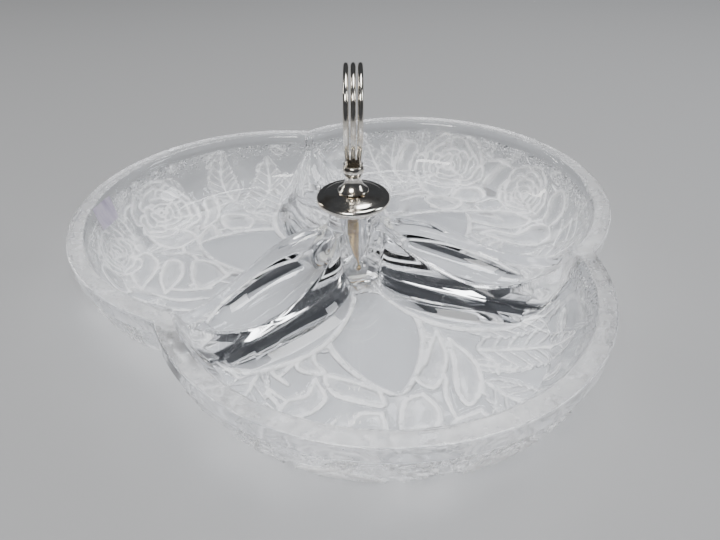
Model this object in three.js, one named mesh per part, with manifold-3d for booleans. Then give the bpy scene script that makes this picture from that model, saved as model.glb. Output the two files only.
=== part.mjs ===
import * as THREE from 'three';
import { mergeVertices } from 'three/addons/utils/BufferGeometryUtils.js';
import Module from 'manifold-3d';

// Chip and dip server: a three-lobed pressed glass dish with three leaf-shaped troughs as dividers,
// and a silver-plated loop handle that screws down through the central glass hub.
// Millimetres, +Z up. The origin is under the middle of the dish, on the surface it stands on.
// The first lobe points along -Y.

const wasm = await Module();
wasm.setup();

// ---------- driving dimensions ----------

// Dish, in plan
const LOBE_RADIUS = 105; // outside radius of each round lobe
const LOBE_CENTRE = 48.8; // distance of a lobe's centre from the hub axis
const RIM_WIDTH = 8.7; // flat land on top of the outer wall
const FOOT_INSET = 16; // how far the foot stands in from the rim
const FOOT_WIDTH = 26; // flat band that the dish stands on

// Dish, in height
const DISH_HEIGHT = 40;
const COMPARTMENT_DEPTH = 33; // rim to the lowest part of the floor
const HUB_FLOOR_RISE = 8; // the floor is this much higher at the hub
const RIM_BAND = 8.5; // upright band of the outside wall under the rim
const UNDERSIDE_RISE = 7.5; // hollow under the middle of the dish

// Dividers
const TROUGH_START = 17; // distance from the hub axis
const TROUGH_END = 107;
const TROUGH_HALF_WIDTH = 17;
const TROUGH_DEPTH = 9;
const ROOT_HALF_WIDTH = 4.5; // of a divider where it leaves the hub
const CREST_WIDTH = 2.6; // edge between a trough and the compartment beside it
const CREST_SAG = 11.2; // dip of the edge between its ends
const TIP_DROP = 9; // the edge's outer end under the rim

// Hub
const HUB_RADIUS = 12.8;
const HUB_RISE = 7.2; // hub top over the rim
const STUD_RADIUS = 3;
const RECESS_RADIUS = 14.5; // hollow that hides the nut
const RECESS_DEPTH = 10;

// Fittings
const CLEARANCE = 0.3; // gap between pieces that touch
const BORE_CLEARANCE = 1.2; // room for the stud in the glass
const GASKET_THICKNESS = 1;
const UPPER_GASKET_RADIUS = 13.6;
const LOWER_GASKET_RADIUS = 12;
const WASHER_RADIUS = 11.4;
const WASHER_THICKNESS = 1;
const NUT_RADIUS = 9.8;
const NUT_THICKNESS = 4.3;
const NUT_FLUTES = 20;
const NUT_FLUTE_DEPTH = 0.6;
const STUD_TAIL = 0.7; // stud below the nut

// Cap and handle
const BACKING_RADIUS = 16.2;
const BACKING_THICKNESS = 1.4;
const CAP_RADIUS = 19.1;
const CAP_ROLL_RADIUS = 1.95; // rolled edge of the cap
const CAP_SHEET = 1.3;
const CAP_CROWN = 2.8; // rise of the dome over the rolled edge
const CAP_BOSS_RADIUS = 9;
const NECK_HEIGHT = 7.9;
const NECK_FOOT_RADIUS = 8.2;
const NECK_WAIST_RADIUS = 3.9;
const STUD_IN_NECK = 5;
const COLLAR_WALL = 0.9; // of the socket
const COLLAR_HEIGHT = 6;
const SOCKET_DEPTH = 2.9;
const WIRE_DIAMETER = 2.5;
const WIRE_GAP = 0.9; // between neighbours at the top of the loop
const LEG_GAP = 0.4; // between a wire's two legs in the collar
const LOOP_HALF_WIDTH = 21;
const LOOP_HEIGHT = 51; // wire's middle, from the socket to the top of the loop
const HANDLE_ANGLE = -14.6; // turn of the loop about the hub axis, degrees

// Label
const LABEL_WIDTH = 20.5;
const LABEL_HEIGHT = 13.5;
const LABEL_THICKNESS = 0.3;
const LABEL_DEPTH = 7; // middle of the label under the rim
const LABEL_BEARING = 161.5; // direction from the lobe's centre, degrees
const LABEL_TWIST = 8; // degrees

// Fineness of the curved surfaces
const OUTLINE_STEPS = 96;
const COMPARTMENT_STEPS = 44;
const TROUGH_STATIONS = 14;
const TROUGH_SIDES = 10;
const ROUND_STEPS = 32;
const SMALL_ROUND_STEPS = 24;
const WIRE_STEPS = 44;
const WIRE_SIDES = 8;
const OVERSHOOT = 4; // cutting solids stand this far out of what they cut

// ---------- derived places ----------

const LOBE_ANGLES = [-90, 30, 150];
const DIVIDER_ANGLES = [-30, 90, 210];
const BORE_RADIUS = STUD_RADIUS + BORE_CLEARANCE;
const METAL_HOLE_RADIUS = STUD_RADIUS + CLEARANCE;
const LOBE_INNER_RADIUS = LOBE_RADIUS - RIM_WIDTH;
const FLOOR_Z = DISH_HEIGHT - COMPARTMENT_DEPTH;
const HUB_TOP_Z = DISH_HEIGHT + HUB_RISE;
const UPPER_GASKET_Z = HUB_TOP_Z + CLEARANCE;
const BACKING_Z = UPPER_GASKET_Z + GASKET_THICKNESS + CLEARANCE;
const CAP_Z = BACKING_Z + BACKING_THICKNESS + CLEARANCE;
const CAP_ROLL_Z = CAP_Z + CAP_ROLL_RADIUS;
const CAP_TOP_Z = CAP_ROLL_Z + CAP_ROLL_RADIUS + CAP_CROWN;
const NECK_Z = CAP_TOP_Z + CLEARANCE;
const COLLAR_Z = NECK_Z + NECK_HEIGHT + CLEARANCE;
const WIRE_PITCH = WIRE_DIAMETER + WIRE_GAP;
const LEG_PITCH = WIRE_DIAMETER + CLEARANCE; // where the wires enter the collar
const LEG_HALF_GAP = (WIRE_DIAMETER + LEG_GAP) / 2;
const SOCKET_RADIUS = Math.hypot(LEG_PITCH, LEG_HALF_GAP) + WIRE_DIAMETER / 2 + CLEARANCE;
const COLLAR_RADIUS = SOCKET_RADIUS + COLLAR_WALL;
const SOCKET_Z = COLLAR_Z + COLLAR_HEIGHT - SOCKET_DEPTH;
const WIRE_Z = SOCKET_Z + CLEARANCE;
const LOWER_GASKET_Z = RECESS_DEPTH - CLEARANCE - GASKET_THICKNESS;
const WASHER_Z = LOWER_GASKET_Z - CLEARANCE - WASHER_THICKNESS;
const NUT_Z = WASHER_Z - CLEARANCE - NUT_THICKNESS;
const STUD_Z = NUT_Z - STUD_TAIL;
const STUD_TOP_Z = NECK_Z + STUD_IN_NECK;

const radians = THREE.MathUtils.degToRad;
const mix = THREE.MathUtils.lerp;

// ---------- materials ----------

function material(color, roughness, metalness) {
  return new THREE.MeshStandardMaterial({ color, roughness, metalness });
}

const glass = () => {
  const clear = material(0xe6eef0, 0.05, 0);
  clear.transparent = true;
  clear.opacity = 0.35;
  return clear;
};
const silver = () => material(0xc9c2b4, 0.16, 1);
const brass = () => material(0xa9824a, 0.35, 1);
const steel = () => material(0xb4b4b0, 0.35, 1);
const vinyl = () => material(0xdcdcd4, 0.5, 0);
const paper = () => material(0xcfccd6, 0.4, 0.3);

// ---------- solids ----------

// Closed skin through a stack of rings with equal counts, each counter-clockwise seen from the stack's end.
function loft(rings) {
  const count = rings[0].length;
  const points = rings.flat();
  const faces = [];
  rings.slice(1).forEach((_, k) => {
    for (let i = 0; i < count; i++) {
      const j = (i + 1) % count;
      const [a, b] = [k * count + i, k * count + j];
      faces.push(a, b, b + count, a, b + count, a + count);
    }
  });
  const capEnd = (ring, first, flip) => {
    const centre = ring.reduce((sum, p) => sum.add(p), new THREE.Vector3()).divideScalar(count);
    points.push(centre);
    const hub = points.length - 1;
    for (let i = 0; i < count; i++) {
      const [a, b] = [first + i, first + ((i + 1) % count)];
      faces.push(hub, flip ? b : a, flip ? a : b);
    }
  };
  capEnd(rings[0], 0, true);
  capEnd(rings.at(-1), (rings.length - 1) * count, false);
  const geometry = new THREE.BufferGeometry().setFromPoints(points);
  geometry.setIndex(faces);
  return geometry;
}

function toManifold(geometry) {
  const bare = geometry.clone();
  bare.deleteAttribute('normal');
  bare.deleteAttribute('uv');
  const merged = mergeVertices(bare);
  return new wasm.Manifold(new wasm.Mesh({
    numProp: 3,
    vertProperties: Float32Array.from(merged.attributes.position.array),
    triVerts: Uint32Array.from(merged.index.array),
  }));
}

function fromManifold(solid) {
  const mesh = solid.getMesh();
  const geometry = new THREE.BufferGeometry();
  geometry.setAttribute('position', new THREE.BufferAttribute(mesh.vertProperties, 3));
  geometry.setIndex(new THREE.BufferAttribute(mesh.triVerts, 1));
  geometry.computeVertexNormals();
  return geometry;
}

// A turned piece: [radius, height] pairs, with height upwards.
function turned(profile, steps = ROUND_STEPS) {
  const outline = profile.map(([r, z]) => new THREE.Vector2(r, z));
  return new THREE.LatheGeometry(outline, steps).rotateX(Math.PI / 2);
}

function turnedRing(inner, outer, bottom, height, steps = ROUND_STEPS) {
  const top = bottom + height;
  return turned([[inner, bottom], [outer, bottom], [outer, top], [inner, top], [inner, bottom]], steps);
}

function turnedRod(radius, bottom, top, steps = ROUND_STEPS) {
  return turned([[0, bottom], [radius, bottom], [radius, top], [0, top]], steps);
}

function named(name, geometry, finish) {
  const mesh = new THREE.Mesh(geometry, finish);
  mesh.name = name;
  return mesh;
}

// ---------- dish ----------

function direction(degrees) {
  return new THREE.Vector2(Math.cos(radians(degrees)), Math.sin(radians(degrees)));
}

// Distance from the hub axis to the three-lobed outline, drawn in by an inset.
function lobedRadius(unit, inset) {
  const radius = LOBE_RADIUS - inset;
  const reach = LOBE_ANGLES.map((angle) => {
    const centre = direction(angle).multiplyScalar(LOBE_CENTRE);
    const along = centre.dot(unit);
    const square = radius ** 2 - centre.lengthSq() + along ** 2;
    return square > 0 ? along + Math.sqrt(square) : 0;
  });
  return Math.max(...reach);
}

function lobedRing(inset, z) {
  return Array.from({ length: OUTLINE_STEPS }, (_, i) => {
    const unit = direction(-90 + (360 * i) / OUTLINE_STEPS);
    const radius = lobedRadius(unit, inset);
    return new THREE.Vector3(unit.x * radius, unit.y * radius, z);
  });
}

function roundRing(radius, z) {
  return Array.from({ length: OUTLINE_STEPS }, (_, i) => {
    const unit = direction(-90 + (360 * i) / OUTLINE_STEPS);
    return new THREE.Vector3(unit.x * radius, unit.y * radius, z);
  });
}

// Outside of the dish: hollow underside, flat foot, flaring wall, upright band and rim.
function dishOutside() {
  const bandZ = DISH_HEIGHT - RIM_BAND;
  const rimRound = 0.8;
  const wall = [0, 0.3, 0.62, 1].map((t) => lobedRing(
    mix(FOOT_INSET, rimRound, Math.sin((t * Math.PI) / 2)),
    mix(0, bandZ, t),
  ));
  return loft([
    roundRing(RECESS_RADIUS + 3, UNDERSIDE_RISE),
    lobedRing(FOOT_INSET + FOOT_WIDTH + 12, UNDERSIDE_RISE / 3),
    lobedRing(FOOT_INSET + FOOT_WIDTH, 0),
    ...wall,
    lobedRing(0, bandZ + rimRound),
    lobedRing(0, DISH_HEIGHT - rimRound),
    lobedRing(rimRound, DISH_HEIGHT),
  ]);
}

// How far a compartment's wall has come in from the rim at a share of its depth: a steep wall, then
// a wide fillet into the floor.
const WALL_PROFILE = [[0, 0], [0.1, 0.8], [0.32, 3], [0.56, 5.8], [0.76, 9.5], [0.91, 14.5], [1, 24]];

function insetAtDepth(depth) {
  const share = THREE.MathUtils.clamp(depth / COMPARTMENT_DEPTH, 0, 1);
  const k = Math.max(1, WALL_PROFILE.findIndex(([t]) => t >= share));
  const [[t0, inset0], [t1, inset1]] = [WALL_PROFILE[k - 1], WALL_PROFILE[k]];
  return mix(inset0, inset1, (share - t0) / (t1 - t0));
}

function troughShare(along) {
  return THREE.MathUtils.clamp((along - TROUGH_START) / (TROUGH_END - TROUGH_START), 0, 1);
}

// Leaf outline: blunt at the hub, widest before the middle, pointed at the notch.
function troughHalfWidth(along) {
  const bulge = Math.sin(Math.PI * troughShare(along) ** 0.8);
  return TROUGH_HALF_WIDTH * Math.max(bulge, 0) ** 0.6;
}

// Half width of a divider at its edges, which never narrows towards the hub.
function crestHalfWidth(along) {
  const root = troughShare(along) < 0.4 ? ROOT_HALF_WIDTH : 0;
  return Math.max(troughHalfWidth(along), root) + CREST_WIDTH;
}

// Depth under the rim of the edge beside the trough.
function crestDepth(along) {
  const share = troughShare(along);
  return TIP_DROP * share + CREST_SAG * Math.sin(Math.PI * share ** 1.45);
}

// Room between a point and the compartment's walls, measured at the rim.
function compartmentRoom(point, lobeAngle) {
  const flankSteepness = 1.6;
  const hubSteepness = 8;
  const cornerRounding = 3.5;
  const centre = direction(lobeAngle).multiplyScalar(LOBE_CENTRE);
  const rooms = [
    LOBE_INNER_RADIUS - point.distanceTo(centre),
    (point.length() - HUB_RADIUS) * hubSteepness,
  ];
  [lobeAngle - 60, lobeAngle + 60].forEach((angle) => {
    const axis = direction(angle);
    const along = point.dot(axis);
    const across = Math.abs(point.cross(axis));
    rooms.push((across - crestHalfWidth(along)) * flankSteepness + insetAtDepth(crestDepth(along)));
  });
  const blended = rooms.reduce((sum, room) => sum + Math.exp(-room / cornerRounding), 0);
  return -cornerRounding * Math.log(blended);
}

// Outline of a compartment where its walls have come in by an inset.
function compartmentRing(lobeAngle, inset, heightAt) {
  const middle = direction(lobeAngle).multiplyScalar((LOBE_CENTRE + LOBE_RADIUS) / 2);
  return Array.from({ length: COMPARTMENT_STEPS }, (_, i) => {
    const ray = direction(lobeAngle + (360 * i) / COMPARTMENT_STEPS);
    let [near, far] = [0, LOBE_RADIUS];
    for (let halving = 0; halving < 30; halving++) {
      const half = (near + far) / 2;
      const point = middle.clone().addScaledVector(ray, half);
      if (compartmentRoom(point, lobeAngle) > inset) near = half;
      else far = half;
    }
    const point = middle.clone().addScaledVector(ray, near);
    return new THREE.Vector3(point.x, point.y, heightAt(point));
  });
}

function compartmentHollow(lobeAngle) {
  const rise = (point) => HUB_FLOOR_RISE * Math.max(0, 1 - point.length() / LOBE_RADIUS);
  const levels = WALL_PROFILE.toReversed().map(([share, inset]) => compartmentRing(
    lobeAngle,
    inset,
    (point) => DISH_HEIGHT - COMPARTMENT_DEPTH * share + rise(point) * share ** 2,
  ));
  const mouth = levels.at(-1).map((p) => new THREE.Vector3(p.x, p.y, DISH_HEIGHT + OVERSHOOT));
  return loft([...levels, mouth]);
}

// A cutting solid along a divider: half an ellipse hung from a line at each station.
function dividerSweep(angle, start, end, halfWidth, lineDepth, sweepDepth) {
  const axis = direction(angle);
  const side = new THREE.Vector2(-axis.y, axis.x);
  const top = DISH_HEIGHT + OVERSHOOT;
  const rings = Array.from({ length: TROUGH_STATIONS }, (_, k) => {
    const along = mix(start, end, (1 - Math.cos((Math.PI * k) / (TROUGH_STATIONS - 1))) / 2);
    const [half, line, drop] = [halfWidth(along), DISH_HEIGHT - lineDepth(along), sweepDepth(along)];
    const at = (across, z) => new THREE.Vector3(
      axis.x * along + side.x * across,
      axis.y * along + side.y * across,
      z,
    );
    const bowl = Array.from({ length: TROUGH_SIDES + 1 }, (_, i) => {
      const turn = Math.PI * (1 + i / TROUGH_SIDES);
      return at(half * Math.cos(turn), line + drop * Math.sin(turn));
    });
    return [...bowl, at(half, top), at(-half, top)];
  });
  return loft(rings);
}

// Room for the edges of the trough to dip: as wide as the divider, kept inside both rims.
function crestHollow(angle) {
  const start = TROUGH_START + 1;
  const lobeSide = (LOBE_CENTRE * Math.sqrt(3)) / 2;
  const meet = LOBE_CENTRE / 2 + Math.sqrt(LOBE_INNER_RADIUS ** 2 - lobeSide ** 2);
  const halfWidth = (along) => {
    const rimSide = Math.sqrt(LOBE_INNER_RADIUS ** 2 - (along - LOBE_CENTRE / 2) ** 2) - lobeSide;
    return Math.max(0.6, Math.min(crestHalfWidth(along) + OVERSHOOT, rimSide));
  };
  return dividerSweep(angle, start, meet - 1.2, halfWidth, crestDepth, () => 0.05);
}

function troughHollow(angle) {
  const edge = 0.8;
  const depth = (along) => Math.max(0.5, TROUGH_DEPTH * Math.sin(Math.PI * troughShare(along)) ** 0.5);
  const half = (along) => Math.max(0.5, troughHalfWidth(along));
  return dividerSweep(angle, TROUGH_START + edge, TROUGH_END - edge, half, crestDepth, depth);
}

function glassDish() {
  let dish = toManifold(dishOutside());
  LOBE_ANGLES.forEach((angle) => {
    dish = dish.subtract(toManifold(compartmentHollow(angle)));
  });
  DIVIDER_ANGLES.forEach((angle) => {
    dish = dish.subtract(toManifold(crestHollow(angle)));
    dish = dish.subtract(toManifold(troughHollow(angle)));
  });
  const chamfer = 0.6;
  dish = dish.add(toManifold(turned([
    [0, FLOOR_Z + HUB_FLOOR_RISE / 2], [HUB_RADIUS, FLOOR_Z + HUB_FLOOR_RISE / 2],
    [HUB_RADIUS, HUB_TOP_Z - chamfer], [HUB_RADIUS - chamfer, HUB_TOP_Z], [0, HUB_TOP_Z],
  ])));
  dish = dish.subtract(toManifold(turnedRod(BORE_RADIUS, -OVERSHOOT, HUB_TOP_Z + OVERSHOOT)));
  dish = dish.subtract(toManifold(turnedRod(RECESS_RADIUS, -OVERSHOOT, RECESS_DEPTH)));
  return named('glass_dish', fromManifold(dish), glass());
}

// ---------- fittings on the hub ----------

function upperGasket() {
  const ring = turnedRing(BORE_RADIUS, UPPER_GASKET_RADIUS, UPPER_GASKET_Z, GASKET_THICKNESS);
  return named('upper_gasket', ring, vinyl());
}

function lowerGasket() {
  const ring = turnedRing(BORE_RADIUS, LOWER_GASKET_RADIUS, LOWER_GASKET_Z, GASKET_THICKNESS);
  return named('lower_gasket', ring, vinyl());
}

function lowerWasher() {
  const ring = turnedRing(METAL_HOLE_RADIUS, WASHER_RADIUS, WASHER_Z, WASHER_THICKNESS);
  return named('lower_washer', ring, steel());
}

function flutedNut() {
  const outline = Array.from({ length: NUT_FLUTES * 2 }, (_, i) => {
    const radius = NUT_RADIUS - (i % 2) * NUT_FLUTE_DEPTH;
    return direction((180 * i) / NUT_FLUTES).multiplyScalar(radius);
  });
  const shape = new THREE.Shape(outline);
  shape.holes.push(new THREE.Path().absarc(0, 0, METAL_HOLE_RADIUS, 0, 2 * Math.PI, true));
  const body = new THREE.ExtrudeGeometry(shape, {
    depth: NUT_THICKNESS, bevelEnabled: false, curveSegments: SMALL_ROUND_STEPS / 2,
  });
  return named('fluted_nut', body.translate(0, 0, NUT_Z), brass());
}

function capBacking() {
  const ring = turnedRing(METAL_HOLE_RADIUS, BACKING_RADIUS, BACKING_Z, BACKING_THICKNESS);
  return named('cap_backing_plate', ring, silver());
}

// Domed sheet with a boss under its middle and a rolled edge.
function capDisc() {
  const rollR = CAP_RADIUS - CAP_ROLL_RADIUS;
  const rollPoints = 7;
  const roll = Array.from({ length: rollPoints }, (_, i) => {
    const turn = radians(-180 + (270 * i) / (rollPoints - 1));
    return [rollR + CAP_ROLL_RADIUS * Math.cos(turn), CAP_ROLL_Z + CAP_ROLL_RADIUS * Math.sin(turn)];
  });
  const dome = (share) => CAP_TOP_Z - CAP_CROWN * share ** 2;
  const domeR = (share) => mix(METAL_HOLE_RADIUS, rollR, share);
  return named('cap_disc', turned([
    [METAL_HOLE_RADIUS, CAP_Z],
    [CAP_BOSS_RADIUS, CAP_Z],
    [CAP_BOSS_RADIUS, dome(0.4) - CAP_SHEET],
    [domeR(0.7), dome(0.7) - CAP_SHEET],
    ...roll,
    ...[0.85, 0.68, 0.5, 0.3, 0.12].map((share) => [domeR(share), dome(share)]),
    [METAL_HOLE_RADIUS, CAP_TOP_Z],
    [METAL_HOLE_RADIUS, CAP_Z],
  ]), silver());
}

// ---------- handle ----------

function threadedStud() {
  return named('threaded_stud', turnedRod(STUD_RADIUS, STUD_Z, STUD_TOP_Z, SMALL_ROUND_STEPS), brass());
}

// Concave neck, blind underneath for the stud.
function handleNeck() {
  const holeTop = STUD_TOP_Z + CLEARANCE;
  const flare = [0, 0.12, 0.3, 0.52, 0.76, 1].map((share) => [
    NECK_WAIST_RADIUS + (NECK_FOOT_RADIUS - NECK_WAIST_RADIUS) * (1 - share) ** 2.6,
    NECK_Z + NECK_HEIGHT * share,
  ]);
  return named('handle_neck', turned([
    [0, holeTop], [METAL_HOLE_RADIUS, holeTop], [METAL_HOLE_RADIUS, NECK_Z],
    ...flare,
    [0, NECK_Z + NECK_HEIGHT],
  ]), silver());
}

// Round bead with a socket on top that the six wire ends stand in.
function beadCollar() {
  const half = COLLAR_HEIGHT / 2;
  const bead = [-60, -35, -10, 15, 40].map((turn) => [
    COLLAR_RADIUS * Math.cos(radians(turn)) ** 0.6,
    COLLAR_Z + half + (half * Math.sin(radians(turn))) / Math.sin(radians(60)),
  ]);
  return named('bead_collar', turned([
    [0, COLLAR_Z],
    ...bead,
    [SOCKET_RADIUS + COLLAR_WALL / 3, COLLAR_Z + COLLAR_HEIGHT],
    [SOCKET_RADIUS, COLLAR_Z + COLLAR_HEIGHT],
    [SOCKET_RADIUS, SOCKET_Z],
    [0, SOCKET_Z],
  ]), silver());
}

// Middle line of a wire, from one leg over the loop to the other, as [across, height share] pairs.
function wirePath(place) {
  const legX = LEG_HALF_GAP / LOOP_HALF_WIDTH;
  const half = [[legX, 0], [legX + 0.04, 0.09], [0.42, 0.24], [0.85, 0.44], [1, 0.63], [0.84, 0.83], [0.45, 0.96]];
  const point = ([x, share], sign) => new THREE.Vector3(
    mix(LEG_PITCH, WIRE_PITCH, Math.min(1, share * 3)) * place,
    sign * x * LOOP_HALF_WIDTH,
    WIRE_Z + share * LOOP_HEIGHT,
  );
  return new THREE.CatmullRomCurve3([
    ...half.map((p) => point(p, -1)),
    point([0, 1], 1),
    ...half.toReversed().map((p) => point(p, 1)),
  ]);
}

function wireLoop(name, place) {
  const section = new THREE.Shape(Array.from({ length: WIRE_SIDES }, (_, i) => (
    direction((360 * i) / WIRE_SIDES).multiplyScalar(WIRE_DIAMETER / 2)
  )));
  const tube = new THREE.ExtrudeGeometry(section, { steps: WIRE_STEPS, extrudePath: wirePath(place) });
  return named(name, tube, silver());
}

function handle() {
  const group = new THREE.Group();
  group.rotation.z = radians(HANDLE_ANGLE);
  group.add(
    threadedStud(),
    handleNeck(),
    beadCollar(),
    wireLoop('loop_wire_left', -1),
    wireLoop('loop_wire_middle', 0),
    wireLoop('loop_wire_right', 1),
  );
  return group;
}

// ---------- label ----------

// A plain label on the inside of the wall of the lobe at 150 degrees, leaning with the wall.
function blankLabel() {
  const lobe = direction(LOBE_ANGLES[2]).multiplyScalar(LOBE_CENTRE);
  const halfDiagonal = Math.hypot(LABEL_WIDTH, LABEL_HEIGHT) / 2;
  const halfHeight = LABEL_HEIGHT / 2;
  const above = insetAtDepth(LABEL_DEPTH - halfHeight);
  const below = insetAtDepth(LABEL_DEPTH + halfHeight);
  const lean = Math.atan2(below - above, LABEL_HEIGHT);
  const curveRoom = LOBE_INNER_RADIUS - Math.sqrt(LOBE_INNER_RADIUS ** 2 - halfDiagonal ** 2);
  const off = (above + below) / 2 + curveRoom + LABEL_THICKNESS + 2 * CLEARANCE;
  const place = lobe.addScaledVector(direction(LABEL_BEARING), LOBE_INNER_RADIUS - off);
  const sheet = new THREE.BoxGeometry(LABEL_THICKNESS, LABEL_WIDTH, LABEL_HEIGHT);
  const label = named('blank_label', sheet, paper());
  label.rotation.x = radians(LABEL_TWIST);
  const leaning = new THREE.Group();
  leaning.position.set(place.x, place.y, DISH_HEIGHT - LABEL_DEPTH);
  leaning.rotation.set(0, lean, radians(LABEL_BEARING), 'ZYX');
  leaning.add(label);
  return leaning;
}

// ---------- assembly ----------

const server = new THREE.Group();
const onHubAxis = new THREE.Group();
onHubAxis.add(
  glassDish(),
  upperGasket(),
  lowerGasket(),
  lowerWasher(),
  flutedNut(),
  capBacking(),
  capDisc(),
  handle(),
  blankLabel(),
);
const extent = new THREE.Box3().setFromObject(onHubAxis);
onHubAxis.position.y = -(extent.min.y + extent.max.y) / 2;
server.add(onHubAxis);

export default server;
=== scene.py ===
import math

import bpy
import numpy as np
from mathutils import Matrix, Vector


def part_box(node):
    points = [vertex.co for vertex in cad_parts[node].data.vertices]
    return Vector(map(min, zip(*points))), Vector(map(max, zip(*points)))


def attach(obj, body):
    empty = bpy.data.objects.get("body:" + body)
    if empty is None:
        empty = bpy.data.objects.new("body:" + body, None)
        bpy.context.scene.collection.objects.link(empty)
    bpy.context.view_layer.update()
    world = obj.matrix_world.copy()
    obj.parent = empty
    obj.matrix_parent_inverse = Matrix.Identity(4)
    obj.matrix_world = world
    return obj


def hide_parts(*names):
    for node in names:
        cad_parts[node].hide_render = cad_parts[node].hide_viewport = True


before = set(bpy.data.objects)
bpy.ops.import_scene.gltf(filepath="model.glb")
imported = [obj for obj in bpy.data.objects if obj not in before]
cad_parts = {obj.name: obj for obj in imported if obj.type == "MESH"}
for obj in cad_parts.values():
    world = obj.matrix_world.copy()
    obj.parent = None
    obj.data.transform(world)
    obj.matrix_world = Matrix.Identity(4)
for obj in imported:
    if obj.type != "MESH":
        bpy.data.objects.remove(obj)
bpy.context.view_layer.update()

MM = 0.001

# ---------- sizes, in millimetres ----------

HUB_AXIS = tuple((low + high) / 2 / MM for low, high in zip(*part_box("threaded_stud")))[:2]
RIM_Z = 40.0
HUB_TOP_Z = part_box("glass_dish")[1][2] / MM

LOBE_RADIUS = 104.85
LOBE_CENTRE = 48.8
LOBE_ANGLES = (-90.0, 30.0, 150.0)
DIVIDER_ANGLES = (-30.0, 90.0, 210.0)
RIM_WIDTH = 8.7
RIM_ROUND = 0.9
RIM_BAND = 8.5
FOOT_INSET = 16.0
FOOT_WIDTH = 26.0
UNDERSIDE_RISE = 7.5
RECESS_RADIUS = 14.5
RECESS_DEPTH = 10.0
BORE_RADIUS = 4.2
HUB_RADIUS = 12.7
HUB_FOOT_RADIUS = 15.6
HUB_COVE_HEIGHT = 4.5

COMPARTMENT_DEPTH = 33.0
HUB_FLOOR_RISE = 8.0
WALL_DEPTHS = (0.0, 3.3, 10.6, 18.5, 25.0, 30.0, 33.0)
WALL_INSETS = (0.0, 0.8, 3.0, 5.8, 9.5, 14.5, 24.0)

TROUGH_START, TROUGH_END = 17.0, 107.0
TROUGH_HALF_WIDTH = 17.0
TROUGH_DEPTH = 9.0
ROOT_HALF_WIDTH = 4.5
CREST_WIDTH = 2.6
CREST_SAG = 11.2
TIP_DROP = 9.0

RELIEF_DEPTH = 2.3
ANGLE_STEPS = 960
ANGLES = np.radians(-90 + 360 * np.arange(ANGLE_STEPS) / ANGLE_STEPS)
ANGLE_COS, ANGLE_SIN = np.cos(ANGLES), np.sin(ANGLES)

# How clouded the glass is, from clear at 0 to white at 1, where the ornament doesn't say.
RIM_FROST, HUB_FROST, BORE_FROST = 0.42, 0.1, 0.16


# ---------- small helpers ----------

def unit(degrees):
    angle = math.radians(degrees)
    return np.array([math.cos(angle), math.sin(angle)])


def smooth_step(low, high, value):
    share = np.clip((value - low) / (high - low), 0.0, 1.0)
    return share * share * (3 - 2 * share)


def soft_min(values, rounding):
    stack = np.stack(values)
    least = stack.min(0)
    return least - rounding * np.log(np.exp(-(stack - least) / rounding).sum(0))


def piece(name, vertices, faces, body, slot, replaced):
    """A smooth mesh object from vertices in millimetres, riding on its CAD body in place of a CAD node."""
    mesh = bpy.data.meshes.new(name)
    mesh.from_pydata([], [], [])
    vertices = np.asarray(vertices, dtype=np.float64) * MM
    faces = np.asarray(faces, dtype=np.int32)
    mesh.vertices.add(len(vertices))
    mesh.vertices.foreach_set("co", vertices.ravel())
    mesh.loops.add(faces.size)
    mesh.loops.foreach_set("vertex_index", faces.ravel())
    mesh.polygons.add(len(faces))
    mesh.polygons.foreach_set("loop_start", np.arange(len(faces), dtype=np.int32) * faces.shape[1])
    mesh.polygons.foreach_set("use_smooth", np.ones(len(faces), bool))
    mesh.update(calc_edges=True)
    mesh.validate()
    obj = bpy.data.objects.new(name, mesh)
    bpy.context.scene.collection.objects.link(obj)
    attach(obj, body)
    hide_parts(replaced)
    return obj


def torus_faces(rows, columns):
    """Quads of a grid that closes on itself both ways."""
    row, column = np.meshgrid(np.arange(rows), np.arange(columns), indexing="ij")
    next_row, next_column = (row + 1) % rows, (column + 1) % columns
    corners = [row * columns + column, row * columns + next_column,
               next_row * columns + next_column, next_row * columns + column]
    return np.stack(corners, -1).reshape(-1, 4)


def turned(profile, steps=128, turn=None):
    """Vertices and quads of a closed profile of (radius, z) turned about the hub axis."""
    profile = np.asarray(profile, dtype=float)
    angles = np.arange(steps) * 2 * math.pi / steps
    radius = np.repeat(profile[:, :1], steps, 1)
    height = np.repeat(profile[:, 1:2], steps, 1)
    if turn is not None:
        radius = radius + turn(radius, height, angles[None, :])
    points = np.stack([
        HUB_AXIS[0] + radius * np.cos(angles),
        HUB_AXIS[1] + radius * np.sin(angles),
        height,
    ], -1)
    return points.reshape(-1, 3), torus_faces(len(profile), steps)


def arc(centre, radius, start, end, steps):
    """Points of an arc of (radius, z), from a start to an end angle in degrees."""
    angles = np.radians(np.linspace(start, end, steps))
    return [(centre[0] + radius * math.cos(a), centre[1] + radius * math.sin(a)) for a in angles]


def catmull(points, steps):
    """A centripetal Catmull-Rom curve through points, with steps to each stretch."""
    ends = np.concatenate([[2 * points[0] - points[1]], points, [2 * points[-1] - points[-2]]])
    curve = []
    for k in range(1, len(ends) - 2):
        p = ends[k - 1:k + 3]
        knots = np.concatenate([[0], np.cumsum(np.linalg.norm(np.diff(p, axis=0), axis=1) ** 0.5)])
        for t in np.linspace(knots[1], knots[2], steps, endpoint=False):
            a = [p[i] + (p[i + 1] - p[i]) * (t - knots[i]) / (knots[i + 1] - knots[i]) for i in range(3)]
            b = [a[i] + (a[i + 1] - a[i]) * (t - knots[i]) / (knots[i + 2] - knots[i]) for i in range(2)]
            curve.append(b[0] + (b[1] - b[0]) * (t - knots[1]) / (knots[2] - knots[1]))
    return np.array(curve + [points[-1]])


# ---------- the dish's smooth shape ----------

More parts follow.
